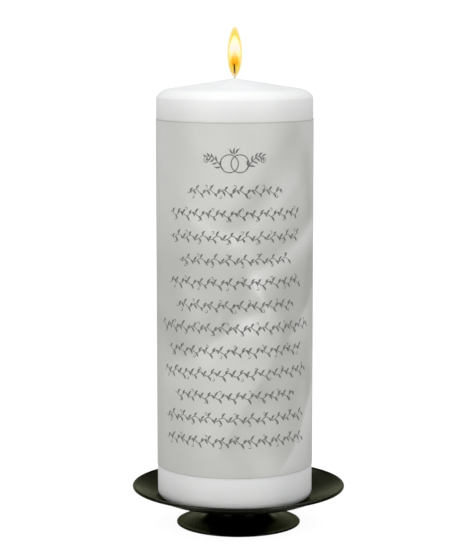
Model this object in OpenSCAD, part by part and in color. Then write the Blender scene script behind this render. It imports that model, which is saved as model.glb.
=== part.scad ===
// Unity candle: a pillar of wax with a printed wrap, standing in a shallow metal plate on a flared foot.
// Origin: centre of the ring that the foot rests on. +Z is up.

/* [Candle] */
// Diameter of the wax pillar
candle_d = 76.2; // [60:0.1:92]
// Height of the wax pillar, from its base to its peak
candle_h = 206.4; // [100:0.1:260]
// Radius of the rounded edge round the base
base_round = 3.8; // [1:0.1:8]
// Slope of the conical top, in degrees
top_slope = 9; // [3:0.5:15]
// Drop from the peak to the edge where the shoulder meets the straight side
shoulder_drop = 9.1; // [7:0.1:12]
// Radius of the rounded shoulder
shoulder_round = 8; // [6.5:0.1:10]
// Distance that the candle stands from the plate's centre, towards -X
candle_shift = 1.8; // [0:0.1:2.5]

/* [Wrap] */
// Height of the wrap's lower edge above the candle's base
wrap_low = 17; // [8:0.1:40]
// Height of the printed wrap
wrap_h = 169.8; // [40:0.1:175]
// Thickness of the printed wrap
wrap_t = 0.2; // [0.1:0.05:0.6]
// Width of the lap where the wrap's two ends meet at the back
wrap_lap = 12; // [4:1:30]

/* [Wick and flame] */
// Width of the flat braided wick
wick_w = 2.2; // [1.4:0.1:3]
// Thickness of the flat braided wick
wick_t = 1.2; // [0.8:0.1:1.6]
// Height of the wick above the candle's peak
wick_out = 7; // [3:0.1:12]
// Diameter of the tin tab that anchors the wick
tab_d = 20; // [12:0.5:30]
// Thickness of the tin tab
tab_t = 0.4; // [0.2:0.1:1]
// Outer diameter of the tab's crimped neck
tab_neck_d = 4.4; // [3.8:0.1:7]
// Height of the tab's crimped neck
tab_neck_h = 6; // [3:0.5:12]
// Diameter of the flame at its widest
flame_d = 7.8; // [6:0.1:12]
// Height of the flame
flame_h = 24.5; // [15:0.1:40]

/* [Plate] */
// Diameter of the plate over its rolled rim
plate_d = 105; // [102:0.5:140]
// Height of the seat, where the candle stands, above the table
seat_h = 13.6; // [12.5:0.1:30]
// Height of the rim's top above the seat
rim_rise = 6; // [4:0.1:12]
// Thickness of the sheet metal in the plate and the foot
sheet = 0.8; // [0.6:0.1:1.2]
// Diameter of the rolled rim's bead
bead_d = 1.6; // [1.5:0.1:2.4]
// Radius of the bend between the plate's seat and its wall
wall_bend = 6; // [3:0.5:10]
// Radius of the pressed well that takes the screw's head
well_r = 9; // [7:0.1:13]
// Width of the sloped side of that well
well_draft = 1.2; // [0.4:0.1:2]

/* [Foot] */
// Diameter of the foot
foot_d = 61.2; // [52:0.1:90]
// Width of the flat ring that the foot rests on
foot_ring = 3.2; // [2:0.1:6]
// Diameter of the foot's neck
neck_d = 28; // [26:0.1:34]
// Slope of the foot's skirt, in degrees
skirt_slope = 6; // [2:0.5:9]
// Inner radius of the bend at the top of the neck
neck_bend = 0.5; // [0.3:0.1:1.5]

/* [Fastener] */
// Diameter of the screw's thread
screw_d = 4; // [3:0.5:5]
// Length of the screw under its head
screw_len = 8; // [7.5:0.5:9]
// Diameter of the screw's head
head_d = 8; // [6:0.5:10]
// Height of the screw's head
head_h = 2.4; // [1.8:0.1:3]
// Width of the slot in the screw's head
slot_w = 1.2; // [0.8:0.1:1.6]
// Depth of the slot in the screw's head
slot_depth = 1; // [0.6:0.1:1.2]
// Outer diameter of the spring washer
washer_d = 7.6; // [6:0.1:10]
// Thickness of the spring washer
washer_t = 0.9; // [0.6:0.1:1.2]
// Width of the cut through the spring washer
washer_gap = 0.8; // [0.4:0.1:1.4]
// Width of the nut across its flats
nut_w = 7; // [5.5:0.5:9]
// Height of the nut
nut_h = 3.2; // [2.4:0.1:3.4]

/* [Clearances] */
// Clearance all round a screw in the hole that it passes through
hole_gap = 0.25; // [0.1:0.05:0.5]
// Clearance between the screw's thread and the nut
thread_gap = 0.05; // [0.02:0.01:0.1]
// Clearance above the screw's head, under the seat
head_gap = 0.5; // [0.2:0.1:1.5]
// Clearance round the wick and its tab in the wax
wick_gap = 0.1; // [0.05:0.05:0.3]
// Height of the tab above the candle's base
tab_inset = 0.3; // [0.1:0.1:1]
// Clearance between the flame and the wick or the wax
flame_gap = 0.4; // [0.3:0.1:1]
// Flat margin of the seat outside the candle's flat base
seat_gap = 0.6; // [0.4:0.1:3]

/* [Hidden] */
$fn = 120;
ARC_STEP = 7;
FLAME_STEPS = 28;
flame_low = 0.9;
flame_round = 0.5;
NUT_SIDES = 6;
CUT = 1;

black_metal = [0.10, 0.11, 0.09];
zinc = [0.70, 0.71, 0.73];
tin = [0.78, 0.78, 0.76];
white_wax = [0.94, 0.94, 0.93];
printed_film = [0.80, 0.80, 0.78];
burnt_cotton = [0.30, 0.18, 0.10];
flame_yellow = [1.00, 0.82, 0.30];

candle_r = candle_d / 2;
peak_z = seat_h + candle_h;
shoulder_z = peak_z - shoulder_drop;
wick_top = peak_z + wick_out;
tab_z = seat_h + tab_inset;

// The stack under the candle, from the well's floor down
well_z = seat_h - head_h - head_gap;
foot_top = well_z - sheet;
washer_top = foot_top - sheet;
nut_top = washer_top - washer_t;
hole_r = screw_d / 2 + hole_gap;

// The plate's wall: a bend at the edge of the seat, then a straight slope up to the bead
seat_r = candle_r - base_round + candle_shift + seat_gap;
bead = [plate_d / 2 - bead_d / 2, seat_h + rim_rise - bead_d / 2];
bend_mid = wall_bend + sheet / 2;
bend_centre = [seat_r, seat_h + wall_bend];
to_bead = bead - bend_centre;
wall_slope = atan2(to_bead[1], to_bead[0]) + asin(bend_mid / norm(to_bead));
bead_join = 180 - asin(sheet / bead_d);

// The foot's skirt: a cove sized to run from the neck's side into the slope
neck_r = neck_d / 2;
foot_r = foot_d / 2;
ring_r = foot_r - foot_ring;
neck_z = foot_top - neck_bend - sheet;
skirt_rise = neck_z - sheet - (ring_r - neck_r) * tan(skirt_slope);
cove_fill = skirt_rise / (cos(skirt_slope) - tan(skirt_slope) + sin(skirt_slope) * tan(skirt_slope));
cove_room = (ring_r - neck_r) / (1 - sin(skirt_slope));
cove_r = min(cove_fill, cove_room);
cove_foot = ring_r - neck_r - cove_r * (1 - sin(skirt_slope));
cove_z = sheet + cove_foot * tan(skirt_slope) + cove_r * cos(skirt_slope);
cove_centre = [neck_r + cove_r, cove_z];
neck_centre = [neck_r - neck_bend - sheet, neck_z];
ring_inside = ring_r + (sheet - sheet / cos(skirt_slope)) / tan(skirt_slope);

// The candle's shoulder: an arc tangent to the cone that ends on the straight side
cone = tan(top_slope);
reach = candle_r * cone - shoulder_drop + shoulder_round / cos(top_slope);
spread = 1 + cone * cone;
root = reach * reach * cone * cone - spread * (reach * reach - shoulder_round * shoulder_round);
arc_run = (reach * cone + sqrt(root)) / spread;
arc_rise = reach - cone * arc_run;
shoulder_centre = [candle_r - arc_run, shoulder_z - arc_rise];

function turn(angle) = [cos(angle), sin(angle)];
function arc(centre, radius, from, to) =
  let (steps = ceil(abs(to - from) / ARC_STEP))
  [for (i = [0 : steps]) centre + radius * turn(from + (to - from) * i / steps)];

// The flame's radius at a share of its height: round at both ends, widest just under the middle
function flame_r(share) = flame_d / 2 * pow(sin(180 * pow(share, flame_low)), flame_round);

module place_candle() {
  translate([-candle_shift, 0, 0])
    children();
}

// Cross-section of the flat braid, a strip with round edges, grown by gap all round
module braid_section(gap) {
  edge = wick_t / 2 + gap;
  offset_y = (wick_w - wick_t) / 2;
  for (side = [-1, 1])
    translate([0, side * offset_y])
      circle(edge);
  square([2 * edge, 2 * offset_y], center = true);
}

module plate() {
  color(black_metal)
    rotate_extrude()
      polygon(concat(
        [[hole_r, well_z], [well_r, well_z], [well_r + well_draft, seat_h]],
        arc(bend_centre, wall_bend, -90, wall_slope - 90),
        arc(bead, bead_d / 2, wall_slope + bead_join, wall_slope - bead_join),
        arc(bend_centre, wall_bend + sheet, wall_slope - 90, -90),
        [[well_r + well_draft + sheet, seat_h - sheet], [well_r + sheet, foot_top], [hole_r, foot_top]]
      ));
}

module foot() {
  color(black_metal)
    rotate_extrude()
      polygon(concat(
        [[hole_r, foot_top]],
        arc(neck_centre, neck_bend + sheet, 90, 0),
        arc(cove_centre, cove_r, 180, 270 - skirt_slope),
        [[ring_r, sheet], [foot_r, sheet], [foot_r, 0], [ring_inside, 0]],
        arc(cove_centre, cove_r + sheet, 270 - skirt_slope, 180),
        arc(neck_centre, neck_bend, 0, 90),
        [[hole_r, foot_top - sheet]]
      ));
}

module stand_screw() {
  color(zinc)
    difference() {
      union() {
        translate([0, 0, well_z])
          cylinder(h = head_h, d = head_d);
        translate([0, 0, well_z - screw_len])
          cylinder(h = screw_len, d = screw_d);
      }
      translate([-head_d / 2 - CUT, -slot_w / 2, well_z + head_h - slot_depth])
        cube([head_d + 2 * CUT, slot_w, slot_depth + CUT]);
    }
}

module spring_washer() {
  color(zinc)
    translate([0, 0, nut_top])
      difference() {
        cylinder(h = washer_t, d = washer_d);
        translate([0, 0, -CUT])
          cylinder(h = washer_t + 2 * CUT, r = screw_d / 2 + thread_gap);
        translate([0, -washer_gap / 2, -CUT])
          cube([washer_d, washer_gap, washer_t + 2 * CUT]);
      }
}

module stand_nut() {
  color(zinc)
    translate([0, 0, nut_top - nut_h])
      difference() {
        cylinder(h = nut_h, d = nut_w / cos(180 / NUT_SIDES), $fn = NUT_SIDES);
        translate([0, 0, -CUT])
          cylinder(h = nut_h + 2 * CUT, r = screw_d / 2 + thread_gap);
      }
}

module wax_pillar() {
  color(white_wax)
    place_candle()
      difference() {
        rotate_extrude()
          polygon(concat(
            [[0, seat_h]],
            arc([candle_r - base_round, seat_h + base_round], base_round, -90, 0),
            arc(shoulder_centre, shoulder_round, atan2(arc_rise, arc_run), 90 - top_slope),
            [[0, peak_z]]
          ));
        translate([0, 0, seat_h])
          linear_extrude(candle_h + CUT)
            braid_section(wick_gap);
        translate([0, 0, seat_h - CUT])
          cylinder(h = CUT + tab_inset + tab_t + wick_gap, r = tab_d / 2 + wick_gap);
        translate([0, 0, seat_h])
          cylinder(h = tab_inset + tab_neck_h + wick_gap, r = tab_neck_d / 2 + wick_gap);
      }
}

module printed_wrap() {
  color(printed_film)
    place_candle()
      translate([0, 0, seat_h + wrap_low]) {
        difference() {
          cylinder(h = wrap_h, r = candle_r + wrap_t);
          translate([0, 0, -CUT])
            cylinder(h = wrap_h + 2 * CUT, r = candle_r);
        }
        lap_angle = wrap_lap / candle_r * 180 / PI;
        lap_overlap = wrap_t / 2;
        rotate([0, 0, 90])
          rotate_extrude(angle = lap_angle)
            translate([candle_r + wrap_t - lap_overlap, 0])
              square([lap_overlap + wrap_t, wrap_h]);
      }
}

module wick() {
  color(burnt_cotton)
    place_candle()
      translate([0, 0, tab_z])
        linear_extrude(wick_top - tab_z)
          braid_section(0);
}

module wick_tab() {
  color(tin)
    place_candle()
      translate([0, 0, tab_z])
        difference() {
          union() {
            cylinder(h = tab_t, d = tab_d);
            cylinder(h = tab_neck_h, d = tab_neck_d);
          }
          translate([0, 0, -CUT])
            linear_extrude(tab_neck_h + 2 * CUT)
              braid_section(wick_gap / 2);
        }
}

module flame() {
  color(flame_yellow)
    place_candle()
      translate([0, 0, peak_z + flame_gap])
        difference() {
          rotate_extrude()
            polygon(concat(
              [[0, 0]],
              [for (i = [1 : FLAME_STEPS - 1]) [flame_r(i / FLAME_STEPS), flame_h * i / FLAME_STEPS]],
              [[0, flame_h]]
            ));
          translate([0, 0, -CUT])
            cylinder(h = CUT + wick_out, r = wick_w / 2 + flame_gap);
        }
}

plate();
foot();
stand_screw();
spring_washer();
stand_nut();
wax_pillar();
printed_wrap();
wick();
wick_tab();
flame();
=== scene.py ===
"""Unity candle: the looks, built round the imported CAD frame. Metres, +Z up, the wrap's front faces -Y."""

import math

import bpy
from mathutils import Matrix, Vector, noise


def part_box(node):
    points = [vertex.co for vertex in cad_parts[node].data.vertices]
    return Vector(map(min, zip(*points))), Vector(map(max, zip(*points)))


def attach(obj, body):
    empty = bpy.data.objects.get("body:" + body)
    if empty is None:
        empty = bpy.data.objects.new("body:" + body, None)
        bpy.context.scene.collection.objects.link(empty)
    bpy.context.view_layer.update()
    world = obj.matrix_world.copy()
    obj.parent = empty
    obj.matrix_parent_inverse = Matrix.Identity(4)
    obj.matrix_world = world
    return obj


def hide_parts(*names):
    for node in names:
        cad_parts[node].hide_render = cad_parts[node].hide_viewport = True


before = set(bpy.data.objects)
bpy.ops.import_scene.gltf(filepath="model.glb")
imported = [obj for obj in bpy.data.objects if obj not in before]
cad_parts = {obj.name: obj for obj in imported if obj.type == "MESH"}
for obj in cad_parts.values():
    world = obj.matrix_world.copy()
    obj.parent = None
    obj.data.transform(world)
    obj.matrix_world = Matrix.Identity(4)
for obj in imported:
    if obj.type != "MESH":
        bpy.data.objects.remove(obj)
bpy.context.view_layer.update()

MM = 0.001

# ---------------------------------------------------------------- sizes taken from the frame

wax_low, wax_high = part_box("wax_pillar")
wrap_low, wrap_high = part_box("printed_wrap")
wick_low, wick_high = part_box("wick")
tab_low, tab_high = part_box("wick_tab")
flame_low, flame_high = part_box("flame")
plate_low, plate_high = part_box("plate")
foot_low, foot_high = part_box("foot")

AXIS_X = (wick_low.x + wick_high.x) / 2
WAX_R = (wax_high.x - wax_low.x) / 2
SEAT_Z = wax_low.z
WICK_OUT = 7.0 * MM  # how far the wick stands out of the wax
PEAK_Z = wick_high.z - WICK_OUT
PLATE_R = (plate_high.x - plate_low.x) / 2
FOOT_R = (foot_high.x - foot_low.x) / 2
WRAP_T = wrap_high.x - AXIS_X - WAX_R

# ---------------------------------------------------------------- sizes that the CAD source sets

BASE_ROUND = 3.8 * MM
TOP_SLOPE = math.radians(9)
SHOULDER_DROP = 9.1 * MM
SHOULDER_ROUND = 8.0 * MM
WRAP_LAP = 12.0 * MM
WICK_T = 1.2 * MM
WICK_GAP = 0.1 * MM
TAB_T = 0.4 * MM
SHEET = 0.8 * MM
BEAD_R = 0.8 * MM
WALL_BEND = 6.0 * MM
SEAT_MARGIN = 0.6 * MM
WELL_R = 9.0 * MM
WELL_DRAFT = 1.2 * MM
HOLE_R = 2.25 * MM
FOOT_RING = 3.2 * MM
NECK_R = 14.0 * MM
NECK_BEND = 0.5 * MM
SKIRT_SLOPE = math.radians(6)

SIDES = 288  # steps round a turned piece
FINE_ARC = math.radians(3)
COARSE_ARC = math.radians(15)


# ---------------------------------------------------------------- mesh helpers


def mesh_object(name, verts, faces, material, body, rounded=True):
    """A piece made from points and faces, riding on a body."""
    mesh = bpy.data.meshes.new(name)
    mesh.from_pydata([tuple(v) for v in verts], [], faces)
    mesh.validate()
    mesh.update()
    for polygon in mesh.polygons:
        polygon.use_smooth = rounded
    obj = bpy.data.objects.new(name, mesh)
    bpy.context.scene.collection.objects.link(obj)
    mesh.materials.append(material)
    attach(obj, body)
    return obj


def sharpen(obj, angle):
    """Marks the edges that fold by more than an angle, so that smooth shading stops at them."""
    mesh = obj.data
    normals = [p.normal.copy() for p in mesh.polygons]
    beside = {}
    for polygon in mesh.polygons:
        for key in polygon.edge_keys:
            beside.setdefault(key, []).append(polygon.index)
    sharp = mesh.attributes.new("sharp_edge", "BOOLEAN", "EDGE")
    for edge in mesh.edges:
        near = beside.get(tuple(sorted(edge.vertices)), [])
        if len(near) == 2 and normals[near[0]].angle(normals[near[1]], 0) > angle:
            sharp.data[edge.index].value = True


def point_values(obj, name, values):
    """Writes one number for each point of a piece into a named attribute, for its material to read."""
    obj.data.attributes.new(name, "FLOAT", "POINT").data.foreach_set("value", values)


def mark_edge(obj, worn):
    """Writes 1 into the edge attribute where paint wears, and 0 elsewhere."""
    point_values(obj, "edge", [1.0 if worn(vertex.co) else 0.0 for vertex in obj.data.vertices])


def smooth(value, low, high):
    """0 at low, 1 at high and an even curve between; low may be the larger."""
    share = min(max((value - low) / (high - low), 0), 1)
    return share * share * (3 - 2 * share)


def arc(centre, radius, start, end, step=FINE_ARC):
    """Points (radius, height) along an arc, both ends included."""
    count = max(2, math.ceil(abs(end - start) / step))
    points = []
    for i in range(count + 1):
        angle = start + (end - start) * i / count
        points.append((centre[0] + radius * math.cos(angle), centre[1] + radius * math.sin(angle)))
    return points


def line(start, end, count):
    """Points between two places, without the first."""
    return [
        (start[0] + (end[0] - start[0]) * i / count, start[1] + (end[1] - start[1]) * i / count)
        for i in range(1, count + 1)
    ]


def turned(outline, axis_x, closed, sides=SIDES):
    """Vertices and faces of an outline turned round an upright axis. An open outline ends on the axis."""
    verts, faces, rings = [], [], []
    for radius, height in outline:
        if radius < 1e-7:
            rings.append([len(verts)])
            verts.append(Vector((axis_x, 0, height)))
            continue
        rings.append(list(range(len(verts), len(verts) + sides)))
        for k in range(sides):
            turn = 2 * math.pi * k / sides
            verts.append(Vector((axis_x + radius * math.cos(turn), radius * math.sin(turn), height)))
    pairs = list(zip(rings, rings[1:]))
    if closed:
        pairs.append((rings[-1], rings[0]))
    for low, high in pairs:
        for k in range(sides):
            after = (k + 1) % sides
            if len(low) == 1 and len(high) == 1:
                break
            if len(low) == 1:
                faces.append((low[0], high[after], high[k]))
            elif len(high) == 1:
                faces.append((low[k], low[after], high[0]))
            else:
                faces.append((low[k], low[after], high[after], high[k]))
    return verts, faces


def tube(path, radii, sides):
    """A round tube along a path, closed at both ends."""
    verts, faces = [], []
    side = Vector((1, 0, 0))
    for i, (place, radius) in enumerate(zip(path, radii)):
        ahead = path[min(i + 1, len(path) - 1)] - path[max(i - 1, 0)]
        across = ahead.cross(side).normalized()
        other = across.cross(ahead).normalized()
        for k in range(sides):
            turn = 2 * math.pi * k / sides
            verts.append(place + radius * (math.cos(turn) * across + math.sin(turn) * other))
    for i in range(len(path) - 1):
        for k in range(sides):
            after = (k + 1) % sides
            faces.append((i * sides + k, i * sides + after, (i + 1) * sides + after, (i + 1) * sides + k))
    faces.append(tuple(reversed(range(sides))))
    faces.append(tuple(range((len(path) - 1) * sides, len(path) * sides)))
    return verts, faces


def join(parts):
    """One list of vertices and one of faces from several."""
    verts, faces = [], []
    for part_verts, part_faces in parts:
        base = len(verts)
        verts.extend(part_verts)
        faces.extend(tuple(base + v for v in face) for face in part_faces)
    return verts, faces


# ---------------------------------------------------------------- material helpers


def ranged(tree, value, given, wanted):
    """Maps a number from one range onto another, and keeps it inside that."""
    made = tree.nodes.new("ShaderNodeMapRange")
    for socket, number in zip(("From Min", "From Max", "To Min", "To Max"), (*given, *wanted)):
        made.inputs[socket].default_value = number
    tree.links.new(value, made.inputs["Value"])
    return made.outputs["Result"]


class Shader:
    """A new material with a Principled surface and short calls for its nodes."""

    def __init__(self, name):
        self.material = bpy.data.materials.new(name)
        self.material.use_nodes = True
        self.tree = self.material.node_tree
        self.surface = self.tree.nodes["Principled BSDF"]

    def node(self, kind, **settings):
        made = self.tree.nodes.new(kind)
        for key, value in settings.items():
            setattr(made, key, value)
        return made

    def link(self, output, target):
        self.tree.links.new(output, target)

    def set(self, **values):
        for key, value in values.items():
            self.surface.inputs[key.replace("_", " ")].default_value = value

    def place(self, kind="Object"):
        return self.node("ShaderNodeTexCoord").outputs[kind]

    def noise(self, scale, detail=3.0, rough=0.5, stretch=None):
        """Noise of so many cycles a metre, stretched by a vector where that is given."""
        where = self.place()
        if stretch:
            mapping = self.node("ShaderNodeMapping")
            mapping.inputs["Scale"].default_value = stretch
            self.link(where, mapping.inputs["Vector"])
            where = mapping.outputs["Vector"]
        made = self.node("ShaderNodeTexNoise")
        made.inputs["Scale"].default_value = scale
        made.inputs["Detail"].default_value = detail
        made.inputs["Roughness"].default_value = rough
        self.link(where, made.inputs["Vector"])
        return made.outputs["Fac"]

    def ramp(self, value, stops):
        """A colour ramp from stops of (place, colour)."""
        made = self.node("ShaderNodeValToRGB")
        while len(made.color_ramp.elements) < len(stops):
            made.color_ramp.elements.new(0.5)
        for element, (where, colour) in zip(made.color_ramp.elements, stops):
            element.position = where
            element.color = (*colour, 1)
        self.link(value, made.inputs["Fac"])
        return made.outputs["Color"]

    def spread(self, value, low, high):
        """Maps noise, which keeps near 0.5, to a range."""
        return ranged(self.tree, value, (0.3, 0.7), (low, high))

    def mix(self, factor, first, second):
        """A mix of two colours, where each input is a number, a colour or another node's output."""
        made = self.node("ShaderNodeMix", data_type="RGBA")
        for socket, value in ((0, factor), (6, first), (7, second)):
            if isinstance(value, (tuple, float, int)):
                made.inputs[socket].default_value = value
            else:
                self.link(value, made.inputs[socket])
        return made.outputs[2]

    def attribute(self, name):
        return self.node("ShaderNodeAttribute", attribute_name=name).outputs["Fac"]

    def bump(self, value, distance, strength, under=None):
        """A bump of a height in metres, over another where that is given."""
        made = self.node("ShaderNodeBump")
        made.inputs["Strength"].default_value = strength
        made.inputs["Distance"].default_value = distance
        self.link(value, made.inputs["Height"])
        if under:
            self.link(under, made.inputs["Normal"])
        return made.outputs["Normal"]


# ---------------------------------------------------------------- materials


def wax_material():
    """White wax: faintly cloudy and dented, scattering light a little inside it, with painted light that
    makes it lighter where its painted-light attribute is high.
    """
    s = Shader("white_wax")
    cloud = s.noise(28, detail=4, rough=0.55)
    fine = s.noise(420, detail=2)
    colour = s.ramp(cloud, [(0.3, (0.622, 0.618, 0.594)), (0.7, (0.667, 0.664, 0.642))])
    # Painted light and shade: the wax is mixed towards a lighter white by how much light make_wax paints at
    # each point.
    painted_light = s.attribute("painted_light")
    colour = s.mix(painted_light, colour, (0.870, 0.872, 0.866, 1))
    s.link(colour, s.surface.inputs["Base Color"])
    s.link(s.spread(s.noise(90), 0.44, 0.58), s.surface.inputs["Roughness"])
    dents = s.bump(s.noise(55, detail=3), 0.25 * MM, 0.5)
    s.link(s.bump(fine, 0.03 * MM, 0.5, dents), s.surface.inputs["Normal"])
    s.set(Subsurface_Weight=0.35, Subsurface_Scale=3.0 * MM, IOR=1.44)
    s.set(Subsurface_Radius=(1.0, 0.9, 0.75))
    return s.material


def print_material():
    """Satin-coated film: a soft grey picture of folded satin, lightened towards its sides by a painted sheen,
    with a painted shade line at both edges.
    """
    s = Shader("printed_film")
    print_and_side_sheen = s.attribute("print_and_side_sheen")
    edge_shade_line = s.attribute("edge_shade_line")
    grain = s.noise(900, detail=2)
    tone = s.ramp(
        print_and_side_sheen,
        [
            (0.0, (0.470, 0.470, 0.444)),
            (0.5, (0.595, 0.595, 0.566)),
            (1.0, (0.730, 0.732, 0.710)),
        ],
    )
    tone = s.mix(s.spread(grain, 0.0, 0.12), tone, (0.50, 0.50, 0.49, 1))
    # Painted shade: a dark line along the film's top and bottom edges, and along its end at the lap.
    tone = s.mix(edge_shade_line, tone, (0.22, 0.22, 0.21, 1))
    s.link(tone, s.surface.inputs["Base Color"])
    s.link(s.spread(s.noise(60), 0.52, 0.64), s.surface.inputs["Roughness"])
    waves = s.bump(s.noise(35, detail=2), 0.4 * MM, 0.35)
    s.link(s.bump(grain, 0.01 * MM, 0.4, waves), s.surface.inputs["Normal"])
    s.set(Specular_IOR_Level=0.35)
    return s.material


def ink_material():
    """Grey printing ink, a little worn."""
    s = Shader("grey_ink")
    worn = s.noise(700, detail=3)
    colour = s.ramp(worn, [(0.3, (0.115, 0.114, 0.108)), (0.72, (0.20, 0.198, 0.19))])
    s.link(colour, s.surface.inputs["Base Color"])
    s.link(s.spread(s.noise(400), 0.4, 0.6), s.surface.inputs["Roughness"])
    s.link(s.bump(worn, 0.02 * MM, 0.4), s.surface.inputs["Normal"])
    return s.material


def black_metal_material(name, in_plate_shade):
    """Satin black paint over spun steel: olive sheen, orange peel, rubbed edges, and, where it is in the
    plate's shade, painted shade that darkens it and dulls its sheen.
    """
    s = Shader(name)
    edge = s.attribute("edge")
    patches = s.noise(45, detail=5, rough=0.6)
    peel = s.noise(950, detail=2)
    spun = s.noise(240, detail=3, stretch=(1, 1, 9))
    colour = s.ramp(patches, [(0.3, (0.012, 0.013, 0.0125)), (0.7, (0.024, 0.0255, 0.021))])
    sheen = (0.92, 0.95, 0.70, 1)
    if in_plate_shade:
        # Painted shade under the plate: darker paint and a duller sheen where the shade attribute is high.
        plate_shade = s.attribute("plate_shade")
        colour = s.mix(plate_shade, colour, (0.004, 0.0042, 0.004, 1))
        s.link(s.mix(plate_shade, sheen, (0.30, 0.31, 0.24, 1)), s.surface.inputs["Specular Tint"])
    else:
        s.set(Specular_Tint=sheen)
    chips = s.ramp(s.noise(420, detail=6, rough=0.7), [(0.66, (0, 0, 0)), (0.72, (1, 1, 1))])
    rubbed = s.mix(edge, (0, 0, 0, 1), chips)
    colour = s.mix(rubbed, colour, (0.13, 0.125, 0.105, 1))
    s.link(colour, s.surface.inputs["Base Color"])
    s.link(s.spread(s.noise(130, detail=4), 0.20, 0.30), s.surface.inputs["Roughness"])
    turned_marks = s.bump(spun, 0.03 * MM, 0.25)
    s.link(s.bump(peel, 0.03 * MM, 0.35, turned_marks), s.surface.inputs["Normal"])
    s.set(Metallic=1.0)
    return s.material


def plated_material(name, dark, bright):
    """Plated steel with a faint drift of colour and fine scratches."""
    s = Shader(name)
    drift = s.noise(160, detail=4)
    scratch = s.noise(700, detail=4, stretch=(1, 8, 1))
    s.link(s.ramp(drift, [(0.3, dark), (0.7, bright)]), s.surface.inputs["Base Color"])
    s.link(s.spread(scratch, 0.26, 0.44), s.surface.inputs["Roughness"])
    s.link(s.bump(scratch, 0.02 * MM, 0.4), s.surface.inputs["Normal"])
    s.set(Metallic=1.0)
    return s.material


def wick_material():
    """Cotton braid: raw and wax-soaked in the candle, browned above it, charred towards the tip."""
    s = Shader("wick_cotton")
    rise = s.attribute("rise")
    fibres = s.noise(1500, detail=4, stretch=(1, 1, 0.3))
    burnt = s.ramp(
        rise,
        [
            (0.0, (0.86, 0.81, 0.68)),
            (0.26, (0.80, 0.68, 0.44)),
            (0.38, (0.24, 0.085, 0.015)),
            (0.50, (0.13, 0.024, 0.003)),
            (0.80, (0.075, 0.012, 0.001)),
            (1.0, (0.13, 0.024, 0.003)),
        ],
    )
    colour = s.mix(s.spread(fibres, 0.0, 0.5), burnt, (0.02, 0.008, 0.003, 1))
    s.link(colour, s.surface.inputs["Base Color"])
    s.link(s.spread(fibres, 0.7, 0.95), s.surface.inputs["Roughness"])
    s.link(s.bump(fibres, 0.08 * MM, 0.8), s.surface.inputs["Normal"])
    return s.material


def flame_material(name, filters, glows):
    """Burning gas: it filters what is behind it and adds light, both by height."""
    s = Shader(name)
    split = s.node("ShaderNodeSeparateXYZ")
    s.link(s.place("Generated"), split.inputs["Vector"])
    clear = s.node("ShaderNodeBsdfTransparent")
    glow = s.node("ShaderNodeEmission")
    both = s.node("ShaderNodeAddShader")
    s.link(s.ramp(split.outputs["Z"], filters), clear.inputs["Color"])
    s.link(s.ramp(split.outputs["Z"], glows), glow.inputs["Color"])
    s.link(clear.outputs["BSDF"], both.inputs[0])
    s.link(glow.outputs["Emission"], both.inputs[1])
    out = s.tree.nodes["Material Output"]
    s.link(both.outputs["Shader"], out.inputs["Surface"])
    s.tree.nodes.remove(s.surface)
    return s.material


FLOOR_GLOW = (0.26, 0.945)  # the light table's strength on the object, and as the camera sees it


def floor_material():
    """A white light table: pale acrylic that glows a little from below."""
    s = Shader("studio_floor")
    s.link(
        s.ramp(s.noise(4, detail=2), [(0.3, (0.15, 0.15, 0.15)), (0.7, (0.16, 0.16, 0.16))]),
        s.surface.inputs["Base Color"],
    )
    s.set(Roughness=0.9, Specular_IOR_Level=0.0, Emission_Color=(1, 1, 1, 1))
    seen = s.node("ShaderNodeLightPath").outputs["Is Camera Ray"]
    s.link(ranged(s.tree, seen, (0, 1), FLOOR_GLOW), s.surface.inputs["Emission Strength"])
    return s.material


WAX = wax_material()
PRINT = print_material()
INK = ink_material()
BLACK = black_metal_material("black_metal", False)
BLACK_IN_PLATE_SHADE = black_metal_material("black_metal_in_plate_shade", True)
ZINC = plated_material("zinc_plate", (0.50, 0.52, 0.55), (0.66, 0.66, 0.66))
TIN = plated_material("tin_plate", (0.58, 0.58, 0.56), (0.70, 0.69, 0.66))
COTTON = wick_material()


# ---------------------------------------------------------------- the stand


def bend_to(point, centre, radius):
    """Slope of a line that leaves an arc, which starts level under its centre, and meets a point."""
    run, rise = point[0] - centre[0], point[1] - centre[1]
    return math.atan2(rise, run) + math.asin(radius / math.hypot(run, rise))


def make_plate():
    """The plate's section: the well, the seat, the flared wall and the rolled rim, and back underneath."""
    down = -math.pi / 2
    foot_top = foot_high.z
    well_z = plate_low.z + SHEET
    seat_r = WAX_R - BASE_ROUND - AXIS_X + SEAT_MARGIN
    bead = (PLATE_R - BEAD_R, plate_high.z - BEAD_R)
    centre = (seat_r, SEAT_Z + WALL_BEND)
    slope = bend_to(bead, centre, WALL_BEND + SHEET / 2)
    joint = math.pi - math.asin(SHEET / 2 / BEAD_R)
    inner = [(HOLE_R, well_z)]
    inner += line(inner[-1], (WELL_R, well_z), 4)
    inner += line(inner[-1], (WELL_R + WELL_DRAFT, SEAT_Z), 4)
    inner += line(inner[-1], (seat_r, SEAT_Z), 12)
    inner += arc(centre, WALL_BEND, down, down + slope)[1:]
    rim = arc(bead, BEAD_R, slope + joint, slope - joint, COARSE_ARC)
    wall = line(inner[-1], rim[0], 12)
    outer = arc(centre, WALL_BEND + SHEET, down + slope, down)
    outer += line(outer[-1], (WELL_R + WELL_DRAFT + SHEET, SEAT_Z - SHEET), 12)
    outer += line(outer[-1], (WELL_R + SHEET, foot_top), 4)
    outer += line(outer[-1], (HOLE_R, foot_top), 4)
    under = line(rim[-1], outer[0], 12)[:-1]
    outline = inner + wall + rim[1:] + under + outer
    plate = mesh_object("plate_shell", *turned(outline, 0, True), BLACK, "stand")
    sharpen(plate, math.radians(35))
    mark_edge(plate, lambda v: math.hypot(math.hypot(v.x, v.y) - bead[0], v.z - bead[1]) < 1.3 * BEAD_R)
    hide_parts("plate")


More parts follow.
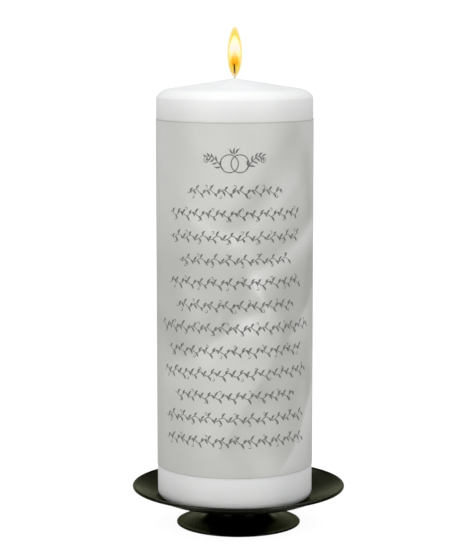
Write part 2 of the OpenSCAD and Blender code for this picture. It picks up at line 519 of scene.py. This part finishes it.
def make_foot():
    """The foot's section: the neck's flat top, the cove, the skirt and the ring it stands on."""
    top = foot_high.z
    ring_r = FOOT_R - FOOT_RING
    neck_z = top - NECK_BEND - SHEET
    slope, steep = SKIRT_SLOPE, math.tan(SKIRT_SLOPE)
    rise = neck_z - SHEET - (ring_r - NECK_R) * steep
    cove_r = rise / (math.cos(slope) - steep + math.sin(slope) * steep)
    cove = (NECK_R + cove_r, neck_z)
    neck = (NECK_R - NECK_BEND - SHEET, neck_z)
    inside = ring_r + (SHEET - SHEET / math.cos(slope)) / steep
    quarter, half = math.pi / 2, math.pi
    lip = 0.3 * MM
    outline = [(HOLE_R, top)]
    outline += line(outline[-1], (neck[0], top), 6)
    outline += arc(neck, NECK_BEND + SHEET, quarter, 0)[1:]
    outline += arc(cove, cove_r, half, 1.5 * math.pi - slope)
    outline += line(outline[-1], (ring_r, SHEET), 8)
    outline += line(outline[-1], (FOOT_R - lip, SHEET), 3)
    outline += arc((FOOT_R - lip, SHEET - lip), lip, quarter, 0, COARSE_ARC)[1:]
    outline += arc((FOOT_R - lip, lip), lip, 0, -quarter, COARSE_ARC)
    outline += line(outline[-1], (inside, 0), 3)
    outline += line(outline[-1], arc(cove, cove_r + SHEET, 1.5 * math.pi - slope, half)[0], 8)
    outline += arc(cove, cove_r + SHEET, 1.5 * math.pi - slope, half)[1:]
    outline += arc(neck, NECK_BEND, 0, quarter)
    outline += line(outline[-1], (HOLE_R, top - SHEET), 6)
    foot = mesh_object("foot_shell", *turned(outline, 0, True), BLACK_IN_PLATE_SHADE, "stand")
    sharpen(foot, math.radians(35))
    mark_edge(foot, lambda v: math.hypot(v.x, v.y) > FOOT_R - 2 * lip)
    # Painted shade under the plate: strongest at the neck, 0.85, falling to 0.30 at 4 mm inside the rim.
    shade_end_r = FOOT_R - 4 * MM
    reaches = [math.hypot(vertex.co.x, vertex.co.y) for vertex in foot.data.vertices]
    point_values(foot, "plate_shade", [0.85 - 0.55 * smooth(out, NECK_R, shade_end_r) for out in reaches])
    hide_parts("foot")


def finish_hardware():
    """Plated materials for the pieces that stay as the CAD made them."""
    for name, material in (
        ("stand_screw", ZINC),
        ("spring_washer", ZINC),
        ("stand_nut", ZINC),
        ("wick_tab", TIN),
    ):
        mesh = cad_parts[name].data
        mesh.materials.clear()
        mesh.materials.append(material)


# ---------------------------------------------------------------- the candle


def shoulder_outline():
    """The shoulder's arc from the straight side to where it meets the cone, then the cone up to the peak."""
    cone = math.tan(TOP_SLOPE)
    reach = WAX_R * cone - SHOULDER_DROP + SHOULDER_ROUND / math.cos(TOP_SLOPE)
    spread = 1 + cone * cone
    root = (reach * cone) ** 2 - spread * (reach**2 - SHOULDER_ROUND**2)
    run = (reach * cone + math.sqrt(root)) / spread
    rise = reach - cone * run
    centre = (WAX_R - run, PEAK_Z - SHOULDER_DROP - rise)
    points = arc(centre, SHOULDER_ROUND, math.atan2(rise, run), math.pi / 2 - TOP_SLOPE)
    near_wick = 1.4 * MM
    flat = PEAK_Z - near_wick * cone
    points += line(points[-1], (near_wick, flat), 30)
    points += line(points[-1], (0, flat + 0.04 * MM), 2)
    return points


def painted_wax_light(depth):
    """Painted light on the wax at a depth below its peak: full on the cone, less on the shoulder as a painted
    shade that dims its highlight, and on the side strong at the top, fading midway and rising again near the
    base.
    """
    cone = smooth(depth, 6.4 * MM, 4.8 * MM)
    side = smooth(depth, 8.2 * MM, 9.6 * MM)
    faded = 0.95 - 0.60 * smooth(depth, 7 * MM, 21 * MM) + 0.38 * smooth(depth, 120 * MM, 170 * MM)
    return cone + side * faded + 0.72 * (1 - cone - side)


def settle(v):
    """Sinks a point of the wax a little, as cast wax shrinks: most on the top, and not where it stands."""
    if v.z <= SEAT_Z + 0.01 * MM:
        return v
    sway = noise.noise(v * 45) + 0.4 * noise.noise(v * 120)
    depth = 0.10 * MM if v.z > PEAK_Z - SHOULDER_DROP + MM else 0.04 * MM
    out = Vector((v.x - AXIS_X, v.y, 0))
    shift = out.normalized() if out.length > MM and v.z < PEAK_Z - 8 * MM else Vector((0, 0, 1))
    return v - shift * depth * abs(sway)


def make_wax():
    """The pillar: the recess for the tab under it, the rounded base, the side, the shoulder and the cone."""
    tab_r = (tab_high.x - tab_low.x) / 2 + WICK_GAP
    recess = tab_low.z + TAB_T + WICK_GAP
    outline = [(0, recess)]
    outline += line(outline[-1], (tab_r, recess), 5)
    outline += line(outline[-1], (tab_r, SEAT_Z), 2)
    outline += line(outline[-1], (WAX_R - BASE_ROUND, SEAT_Z), 10)
    outline += arc((WAX_R - BASE_ROUND, SEAT_Z + BASE_ROUND), BASE_ROUND, -math.pi / 2, 0)[1:]
    shoulder = shoulder_outline()
    outline += line(outline[-1], (WAX_R, shoulder[0][1] - 0.4 * MM), 60)
    outline += shoulder
    verts, faces = turned(outline, AXIS_X, False)
    wax = mesh_object("pillar_wax", [settle(v) for v in verts], faces, WAX, "candle")
    sharpen(wax, math.radians(50))
    # Painted light and shade by depth below the peak: a lighter cone, a dimmer shoulder, and a side that
    # fades midway and lightens near the base.
    point_values(wax, "painted_light", [painted_wax_light(PEAK_Z - vertex.co.z) for vertex in wax.data.vertices])
    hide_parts("wax_pillar")


FILM_STEP = 1.0 * MM
FILM_GAP = 0.01 * MM  # between the wax and the film
EDGE_SHADE_WIDTH = 0.3 * MM  # the fine line of painted shade along both edges of the film
EDGE_SHADE_END = 0.45 * MM  # where it has faded out
SEAM_TURN = 0.06  # how far round the film takes to climb on its own start, in radians

# The printed satin's folds, in millimetres on the unrolled film from its front centre and lower edge:
# where each starts and ends, how wide it is to the left and right of that line, and how light it is.
FOLDS = (
    ((30, 164), (-2, 124), 7, 5, -0.24),
    ((14, 138), (1, 121), 6, 5, -0.24),
    ((32, 142), (1, 115), 3, 6, 0.20),
    ((-24, 126), (-2, 114), 3, 3, 0.24),
    ((0, 112), (7, 104), 5, 4, 0.16),
    ((42, 150), (46, 124), 9, 6, -0.34),
    ((46, 126), (14, 108), 3, 6, -0.16),
    ((48, 118), (10, 97), 7, 3, 0.54),
    ((9, 96), (12, 92), 4, 3, 0.24),
    ((11, 94), (18, 82), 1.5, 1.3, 0.36),
    ((48, 100), (46, 86), 12, 6, -0.44),
    ((28, 92), (24, 86), 6, 6, -0.14),
    ((6, 92), (-7, 72), 3, 7, -0.22),
    ((-24, 92), (-21, 80), 5, 5, 0.18),
    ((-6, 79), (-10, 72), 1.5, 1.5, 0.18),
    ((-46, 74), (-26, 62), 6, 7, -0.16),
    ((17, 80), (5, 77), 10, 2, 0.40),
    ((6, 75), (-14, 62), 11, 1.8, 0.36),
    ((-22, 57), (-38, 48), 12, 3, 0.22),
    ((10, 56), (-12, 24), 8, 10, 0.14),
    ((27, 72), (13, 43), 9, 1.5, -0.24),
    ((13, 43), (-5, 16), 8, 1.5, -0.22),
    ((50, 86), (31, 68), 9, 1.5, 0.50),
    ((44, 58), (30, 36), 5, 6, -0.14),
    ((46, 46), (46, 38), 6, 6, -0.26),
    ((50, 38), (27, 6), 12, 1.5, 0.50),
    ((16, 5), (20, 2), 6, 6, 0.24),
    ((-48, 30), (-44, 6), 6, 8, -0.12),
)


def fold_light(across, up, start, end, left, right, light):
    """What one fold adds to the brightness at a place on the film."""
    run, rise = end[0] - start[0], end[1] - start[1]
    length = math.hypot(run, rise)
    ahead = ((across - start[0]) * run + (up - start[1]) * rise) / length
    aside = ((up - start[1]) * run - (across - start[0]) * rise) / length
    width = left if aside > 0 else right
    past = max(0.0, -ahead, ahead - length)
    return light * math.exp(-((aside / width) ** 2) - (past / (0.5 * (left + right))) ** 2)


def folded(across, up):
    """Brightness of the printed satin: each entry of FOLDS over a faint drift and ripple, and a painted sheen
    that lightens it towards the sides.
    """
    sway = 5 * noise.noise(Vector((across / 31, up / 31, 0.3)))
    ripple = noise.noise(Vector(((across + 0.8 * up + 3 * sway) / 15, (up - 0.8 * across) / 60, 4.1)))
    drift = noise.noise(Vector((across / 48, up / 60, 8.2)))
    # Painted sheen: the term with abs(across) lightens the print from 28 to 52 mm either side of the centre.
    value = 0.36 + 0.10 * drift + 0.08 * ripple + 0.16 * smooth(abs(across), 28, 52)
    value += 0.26 * smooth(up, 104, 140) - 0.20 * smooth(up, 50, 72) * smooth(up, 118, 98)
    for fold in FOLDS:
        value += fold_light(across + sway, up + 0.6 * sway, *fold)
    return value


def satin(across, up, height):
    """The print's brightness with its painted side sheen, from 0 to 1: the back carries the same picture and
    sheen, turned end for end.
    """
    half = math.pi * WAX_R / MM
    behind = smooth(abs(across), half / 2 - 9, half / 2 + 9)
    value = folded(across, up) if behind < 1 else 0
    if behind > 0:
        value += behind * (folded(math.copysign(half, across) - across, height - up) - value)
    return min(max(value, 0), 1)


def film_levels(height):
    """Heights of the film's rows of points, close together at the painted shade line along both edges."""
    rows = math.ceil(height / FILM_STEP)
    levels = [0, EDGE_SHADE_WIDTH, EDGE_SHADE_END]
    levels += [FILM_STEP * (i + 1) for i in range(rows - 2)]
    levels = [h for h in levels if h < height - 2 * EDGE_SHADE_WIDTH]
    return levels + [height - EDGE_SHADE_END, height - EDGE_SHADE_WIDTH, height]


def make_wrap():
    """The film, from its inner end at the back, once round and on over itself by the lap."""
    height = wrap_high.z - wrap_low.z
    whole = 2 * math.pi
    lap = WRAP_LAP / WAX_R
    around = math.ceil((whole * WAX_R + WRAP_LAP) / FILM_STEP)
    levels = film_levels(height)
    verts, faces, places = [], [], []
    for layer in (WRAP_T, 0.0):
        for i in range(around + 1):
            turned_by = (whole + lap) * i / around
            angle = math.pi / 2 + turned_by
            lift = WRAP_T * smooth(turned_by, whole - SEAM_TURN, whole)
            radius = WAX_R + layer + lift + FILM_GAP
            x, y = AXIS_X + radius * math.cos(angle), radius * math.sin(angle)
            for level in levels:
                verts.append(Vector((x, y, wrap_low.z + level)))
                places.append((WAX_R * (turned_by - math.pi), level))
    tall, sheet = len(levels), (around + 1) * len(levels)

    def at(layer, i, j):
        return layer * sheet + i * tall + j

    top = tall - 1
    for i in range(around):
        for j in range(top):
            faces.append((at(0, i, j), at(0, i + 1, j), at(0, i + 1, j + 1), at(0, i, j + 1)))
            faces.append((at(1, i, j), at(1, i, j + 1), at(1, i + 1, j + 1), at(1, i + 1, j)))
        faces.append((at(0, i, 0), at(1, i, 0), at(1, i + 1, 0), at(0, i + 1, 0)))
        faces.append((at(0, i, top), at(0, i + 1, top), at(1, i + 1, top), at(1, i, top)))
    for j in range(top):
        faces.append((at(0, 0, j), at(0, 0, j + 1), at(1, 0, j + 1), at(1, 0, j)))
        faces.append((at(0, around, j), at(1, around, j), at(1, around, j + 1), at(0, around, j + 1)))
    wrap = mesh_object("wrap_film", verts, faces, PRINT, "candle")
    sharpen(wrap, math.radians(40))
    print_and_side_sheen, edge_shade_line = [], []
    for index, (across, level) in enumerate(places):
        inner = index >= sheet
        print_and_side_sheen.append(0.5 if inner else satin(across / MM, level / MM, height / MM))
        # Painted shade line: darker along the top edge than the bottom edge, and also at the film's end over
        # the lap.
        seam = index // tall in (around, 2 * around + 1)
        rim = 0.45 if level > height - EDGE_SHADE_END else 0.25 if level < EDGE_SHADE_END else 0.0
        edge_shade_line.append(0.5 if seam else rim)
    point_values(wrap, "print_and_side_sheen", print_and_side_sheen)
    point_values(wrap, "edge_shade_line", edge_shade_line)
    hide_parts("printed_wrap")


# ---------------------------------------------------------------- the printed ornament

INK_LIFT = 0.03 * MM
INK_HIGH = 0.05 * MM


def on_film(across, height, lift):
    """A place on the film: across from its front centre, height above the table, both in metres."""
    angle = -math.pi / 2 + across / WAX_R
    radius = WAX_R + WRAP_T + lift
    return Vector((AXIS_X + radius * math.cos(angle), radius * math.sin(angle), height))


def stroke(points, widths):
    """A raised ribbon of ink along points (across, height), with a width at each."""
    verts, faces = [], []
    for i, ((across, height), width) in enumerate(zip(points, widths)):
        back, front = points[max(i - 1, 0)], points[min(i + 1, len(points) - 1)]
        run, rise = front[0] - back[0], front[1] - back[1]
        length = math.hypot(run, rise) or 1
        side = (-rise / length * width / 2, run / length * width / 2)
        for sign, lift in ((1, -INK_LIFT), (1, INK_HIGH), (-1, INK_HIGH), (-1, -INK_LIFT)):
            verts.append(on_film(across + sign * side[0], height + sign * side[1], lift))
    for i in range(len(points) - 1):
        for k in range(4):
            after = (k + 1) % 4
            faces.append((4 * i + k, 4 * i + after, 4 * i + 4 + after, 4 * i + 4 + k))
    last = 4 * (len(points) - 1)
    faces.append((3, 2, 1, 0))
    faces.append((last, last + 1, last + 2, last + 3))
    return verts, faces


def leaf(across, height, heading, length, width):
    """A pointed leaf that starts at a place and grows in a heading."""
    steps = 7
    points, widths = [], []
    for i in range(steps + 1):
        share = i / steps
        bow = 0.12 * length * math.sin(math.pi * share)
        x = across + length * share * math.cos(heading) - bow * math.sin(heading)
        y = height + length * share * math.sin(heading) + bow * math.cos(heading)
        points.append((x, y))
        widths.append(max(width * math.sin(math.pi * share) ** 0.8, 0.06 * MM))
    return stroke(points, widths)


def vine(half, height, phase):
    """One row of the ornament: a wavy stem, a leaf on each side in turn and a curl over every crest."""
    parts = []
    wave, swing = 7.0 * MM, 0.95 * MM

    def stem(across):
        return height + swing * math.sin(2 * math.pi * across / wave + phase)

    count = round(2 * half / wave) * 14
    places = [-half + 2 * half * i / count for i in range(count + 1)]
    swell = [math.sin(math.pi * i / count) ** 0.5 for i in range(count + 1)]
    parts.append(stroke([(a, stem(a)) for a in places], [(0.18 + 0.20 * k) * MM for k in swell]))
    leaves = round(2 * half / (wave / 4))
    for i in range(1, leaves):
        across = -half + 2 * half * i / leaves
        side = 1 if i % 2 else -1
        size = (2.7 + 0.5 * math.sin(2.1 * i + phase)) * MM
        parts.append(leaf(across, stem(across), side * math.radians(56), size, 0.95 * MM))
    crests = round(2 * half / wave)
    for i in range(crests):
        across = -half + 2 * half * (i + 0.5) / crests
        side = 1 if i % 2 else -1
        parts.append(spiral(across, height + side * 2.6 * MM, -side * math.pi / 2, 0.8, 0.9 * MM, side, 0.30))
    return parts


def spiral(across, height, start, turns, radius, hand, width):
    """A curl that winds inwards from a place, so many millimetres wide at its thickest."""
    steps = 28
    points, widths = [], []
    for i in range(steps + 1):
        share = i / steps
        angle = start + hand * 2 * math.pi * turns * share
        reach = radius * (1 - 0.72 * share)
        points.append((across + reach * math.cos(angle), height + reach * math.sin(angle)))
        widths.append(width * (0.45 + 0.55 * math.sin(math.pi * share)) * MM)
    return stroke(points, widths)


def ring(across, height, radius, width):
    """A whole circle of one width."""
    steps = 48
    points = []
    for i in range(steps + 1):
        angle = 2 * math.pi * i / steps
        points.append((across + radius * math.cos(angle), height + radius * math.sin(angle)))
    return stroke(points, [width] * (steps + 1))


def spray(side, height):
    """A leafy stem that sweeps out from the rings to one side and ends in a curl."""
    parts, points = [], []
    steps = 24
    for i in range(steps + 1):
        share = i / steps
        points.append((side * (5.4 + 8.0 * share) * MM, height + (-3.4 + 6.2 * math.sin(1.9 * share)) * MM))
    parts.append(stroke(points, [(0.50 - 0.22 * i / steps) * MM for i in range(steps + 1)]))
    for i in range(3, steps, 5):
        across, level = points[i]
        length = (3.5 - 1.3 * i / steps) * MM
        for lean in (0.85, -0.85):
            heading = 0.95 - 1.4 * i / steps + lean
            heading = heading if side > 0 else math.pi - heading
            parts.append(leaf(across, level, heading, length, 0.85 * MM))
    end = points[-1]
    start = math.pi / 2 - side * 0.4
    parts.append(spiral(end[0], end[1] - 1.5 * MM, start, 1.1, 1.5 * MM, -side, 0.42))
    return parts


def crest(height):
    """The ornament at the head of the film: two linked rings between leafy sprays."""
    parts = spray(-1, height) + spray(1, height)
    for side in (-1, 1):
        parts.append(ring(side * 2.5 * MM, height - 0.6 * MM, 4.2 * MM, 0.5 * MM))
        parts.append(leaf(side * 0.5 * MM, height + 3.9 * MM, math.pi / 2 - side * 0.6, 3.2 * MM, 0.85 * MM))
    parts.append(leaf(0, height + 3.6 * MM, math.pi / 2, 3.4 * MM, 0.8 * MM))
    return parts


# Half-lengths of the ornament's rows along the film in millimetres, from the top row down
ROW_HALVES = (24, 35, 35, 29, 36, 31, 43, 37, 41, 32, 39, 39)
FIRST_ROW = 154.4 * MM
ROW_PITCH = 10.88 * MM
CREST_UP = 168.3 * MM


def make_ornament():
    """The crest and the rows of vine, which stand where the print does and say nothing."""
    parts = crest(SEAT_Z + CREST_UP)
    for row, half in enumerate(ROW_HALVES):
        parts += vine(half * MM, SEAT_Z + FIRST_ROW - row * ROW_PITCH, 1.3 * row)
    ornament = mesh_object("wrap_ornament", *join(parts), INK, "candle", rounded=False)


# ---------------------------------------------------------------- wick and flame


def make_wick():
    """Three strands braided flat, thinner and leaning a little where the wick has burnt."""
    length = wick_high.z - wick_low.z
    pitch = 4.2 * MM
    spread = (wick_high.y - wick_low.y) / 2 - WICK_T / 4
    step = 0.35 * MM
    count = math.ceil(length / step)
    parts, rises = [], []
    strands, sides = 3, 8
    for strand in range(strands):
        path, radii = [], []
        for i in range(count + 1):
            z = wick_low.z + length * i / count
            turn = 2 * math.pi * (z / pitch + strand / strands)
            burnt = smooth(z, PEAK_Z, wick_high.z)
            thin = 1 - 0.30 * burnt
            lean = -0.25 * MM * burnt * burnt
            x = AXIS_X + lean + 0.22 * WICK_T * math.sin(2 * turn) * thin
            path.append(Vector((x, spread * 0.72 * math.sin(turn) * thin, z)))
            radii.append(0.27 * WICK_T * thin)
            rises.extend([min(max((z - PEAK_Z) / WICK_OUT, 0), 1)] * sides)
        parts.append(tube(path, radii, sides))
    wick = mesh_object("wick_braid", *join(parts), COTTON, "candle")
    point_values(wick, "rise", rises)
    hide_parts("wick")


def flame_shell(name, widest, low, high, lean, fullness, material):
    """One shell of the flame, a turned spindle between two heights in millimetres above the candle's peak."""
    steps = 56
    outline = []
    for i in range(steps + 1):
        share = 0.5 - 0.5 * math.cos(math.pi * i / steps)
        radius = widest * math.sin(math.pi * share**lean) ** fullness if 0 < i < steps else 0
        outline.append((radius, PEAK_Z + (low + (high - low) * share) * MM))
    shell = mesh_object(name, *turned(outline, AXIS_X, False, 64), material, "candle")
    shell.visible_shadow = False
    shell.visible_diffuse = False
    return shell


def make_flame():
    """Nested shells of burning gas: pale halo, tan mantle, yellow body, white core and orange heart."""
    radius = (flame_high.x - flame_low.x) / 2
    halo = flame_material(
        "flame_halo",
        [(0.0, (0.99, 0.97, 0.93)), (0.25, (0.975, 0.94, 0.80)), (1.0, (0.975, 0.945, 0.80))],
        [(0.0, (0, 0, 0)), (1.0, (0, 0, 0))],
    )
    mantle = flame_material(
        "flame_mantle",
        [
            (0.0, (0.55, 0.53, 0.50)),
            (0.08, (0.75, 0.70, 0.62)),
            (0.16, (0.955, 0.87, 0.72)),
            (0.5, (0.967, 0.883, 0.728)),
            (1.0, (0.967, 0.88, 0.70)),
        ],
        [(0.0, (0.42, 0.37, 0.30)), (0.08, (0.20, 0.16, 0.11)), (0.16, (0, 0, 0)), (1.0, (0, 0, 0))],
    )
    body = flame_material(
        "flame_body",
        [
            (0.0, (0.97, 0.88, 0.50)),
            (0.24, (0.97, 0.92, 0.42)),
            (0.38, (0.93, 0.93, 0.64)),
            (0.5, (0.90, 0.90, 0.45)),
            (0.75, (0.90, 0.85, 0.30)),
            (1.0, (0.92, 0.86, 0.40)),
        ],
        [
            (0.0, (0.015, 0.012, 0.0)),
            (0.24, (0.015, 0.012, 0.0)),
            (0.38, (0.08, 0.10, 0.06)),
            (0.5, (0.16, 0.23, 0.36)),
            (0.75, (0.105, 0.165, 0.16)),
            (1.0, (0.05, 0.10, 0.08)),
        ],
    )
    core = flame_material(
        "flame_core",
        [
            (0.0, (1, 1, 1)),
            (0.10, (0.95, 0.95, 0.9)),
            (0.28, (0.6, 0.6, 0.5)),
            (0.44, (0, 0, 0)),
            (0.70, (0.1, 0.1, 0.1)),
            (1.0, (0.95, 0.95, 0.9)),
        ],
        [
            (0.0, (0, 0, 0)),
            (0.10, (0.04, 0.05, 0.10)),
            (0.28, (0.40, 0.42, 0.8)),
            (0.44, (1.0, 1.02, 2.7)),
            (0.72, (1.05, 1.10, 3.2)),
            (0.86, (0.60, 0.60, 1.2)),
            (1.0, (0.05, 0.05, 0.05)),
        ],
    )
    heart = flame_material(
        "flame_heart",
        [(0.0, (1, 1, 1)), (0.14, (0.9, 0.75, 0.4)), (0.36, (0, 0, 0)), (1.0, (0, 0, 0))],
        [
            (0.0, (0, 0, 0)),
            (0.14, (0.1, 0.05, 0)),
            (0.36, (1.09, 0.56, 0)),
            (0.7, (1.05, 0.70, 0.03)),
            (1.0, (1.02, 0.85, 0.25)),
        ],
    )
    outer = flame_shell("flame_halo", radius, 0.2, (flame_high.z - PEAK_Z) / MM, 0.88, 0.5, halo)
    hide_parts("flame")
    flame_shell("flame_mantle", 0.86 * radius, 0.5, 24.4, 0.88, 0.52, mantle)
    flame_shell("flame_body", 0.74 * radius, 1.3, 23.2, 0.86, 0.56, body)
    flame_shell("flame_core", 0.67 * radius, 9.0, 21.0, 0.66, 0.72, core)
    flame_shell("flame_heart", 0.44 * radius, 5.2, 13.4, 0.66, 0.66, heart)


# ---------------------------------------------------------------- the studio


LIT_PLACE = (0, 0, 0.12)  # what the softboxes aim at
# Each softbox: its place, its width and height, and its power in watts
SOFTBOXES = {
    "fill_back": ((0.35, 1.2, 0.12), (0.7, 0.2), 3.6),
    "key_left": ((-0.95, -0.95, 0.26), (0.6, 0.7), 9.3),
    "key_right": ((0.95, -0.95, 0.26), (0.6, 0.7), 8.0),
}
OVERHEAD_POWER = 2.8
OVERHEAD_COLOUR = (0.97, 0.985, 1.0)
OVERHEAD_SPREAD = math.radians(100)
DIM_FRONT = 0.075  # the world's strength where it is darkest
WHITE_BACKDROP = 1.1  # the world's strength as the camera sees it
FLOOR_REACH = 30.0
CAMERA_PLACE = (-1.2 * MM, -0.975, 0.252)
CAMERA_DIPS = math.radians(7.49)
CAMERA_LENS = 131.3
CAMERA_SENSOR = 36


def softbox(name):
    """One of the softboxes, turned to face the candle."""
    place, size, power = SOFTBOXES[name]
    data = bpy.data.lights.new(name, "AREA")
    data.shape = "RECTANGLE"
    data.size, data.size_y = size
    data.energy = power
    light = bpy.data.objects.new(name, data)
    light.location = place
    light.rotation_euler = (Vector(LIT_PLACE) - Vector(place)).to_track_quat("-Z", "Y").to_euler()
    bpy.context.scene.collection.objects.link(light)
    return light


def make_studio():
    """A light table under a wide overhead light, two softboxes in front and a faint one behind."""
    floor_mesh = bpy.data.meshes.new("floor")
    corners = [(x * FLOOR_REACH, y * FLOOR_REACH, 0) for x, y in ((-1, -1), (1, -1), (1, 1), (-1, 1))]
    floor_mesh.from_pydata(corners, [], [(0, 1, 2, 3)])
    floor_mesh.materials.append(floor_material())
    floor = bpy.data.objects.new("floor", floor_mesh)
    bpy.context.scene.collection.objects.link(floor)
    make_world()
    sun = bpy.data.lights.new("overhead", "SUN")
    sun.energy = OVERHEAD_POWER
    sun.color = OVERHEAD_COLOUR
    sun.angle = OVERHEAD_SPREAD
    sun.specular_factor = 0.0
    overhead = bpy.data.objects.new("overhead", sun)
    bpy.context.scene.collection.objects.link(overhead)
    softbox("fill_back").visible_glossy = False
    softbox("key_left")
    softbox("key_right")
    bpy.context.scene.view_settings.view_transform = "Standard"


def make_world():
    """White to the camera. As light on the object it is dim, and brighter low down at the back."""
    world = bpy.data.worlds.new("studio")
    bpy.context.scene.world = world
    world.use_nodes = True
    tree = world.node_tree
    light = tree.nodes["Background"]
    light.inputs["Color"].default_value = (1, 1, 1, 1)
    where = tree.nodes.new("ShaderNodeTexCoord")
    split = tree.nodes.new("ShaderNodeSeparateXYZ")
    tree.links.new(where.outputs["Generated"], split.inputs["Vector"])
    back = ranged(tree, split.outputs["Y"], (0.2, 1), (0, 0.36))
    low = ranged(tree, split.outputs["Z"], (0.40, 0.10), (0, 1))
    glow = tree.nodes.new("ShaderNodeMath")
    glow.operation = "MULTIPLY_ADD"
    glow.inputs[2].default_value = DIM_FRONT
    tree.links.new(back, glow.inputs[0])
    tree.links.new(low, glow.inputs[1])
    tree.links.new(glow.outputs["Value"], light.inputs["Strength"])
    seen = tree.nodes.new("ShaderNodeBackground")
    seen.inputs["Color"].default_value = (1, 1, 1, 1)
    seen.inputs["Strength"].default_value = WHITE_BACKDROP
    path = tree.nodes.new("ShaderNodeLightPath")
    pick = tree.nodes.new("ShaderNodeMixShader")
    tree.links.new(path.outputs["Is Camera Ray"], pick.inputs["Fac"])
    tree.links.new(light.outputs["Background"], pick.inputs[1])
    tree.links.new(seen.outputs["Background"], pick.inputs[2])
    tree.links.new(pick.outputs["Shader"], tree.nodes["World Output"].inputs["Surface"])


def make_camera():
    """A long lens in front of the candle, a little above its top and looking slightly down."""
    data = bpy.data.cameras.new("camera")
    camera = bpy.data.objects.new("camera", data)
    bpy.context.scene.collection.objects.link(camera)
    camera.location = CAMERA_PLACE
    camera.rotation_euler = (math.pi / 2 - CAMERA_DIPS, 0, 0)
    data.lens = CAMERA_LENS
    data.sensor_width = CAMERA_SENSOR
    bpy.context.scene.camera = camera


make_camera()
make_plate()
make_foot()
finish_hardware()
make_wax()
make_wrap()
make_ornament()
make_wick()
make_flame()
make_studio()
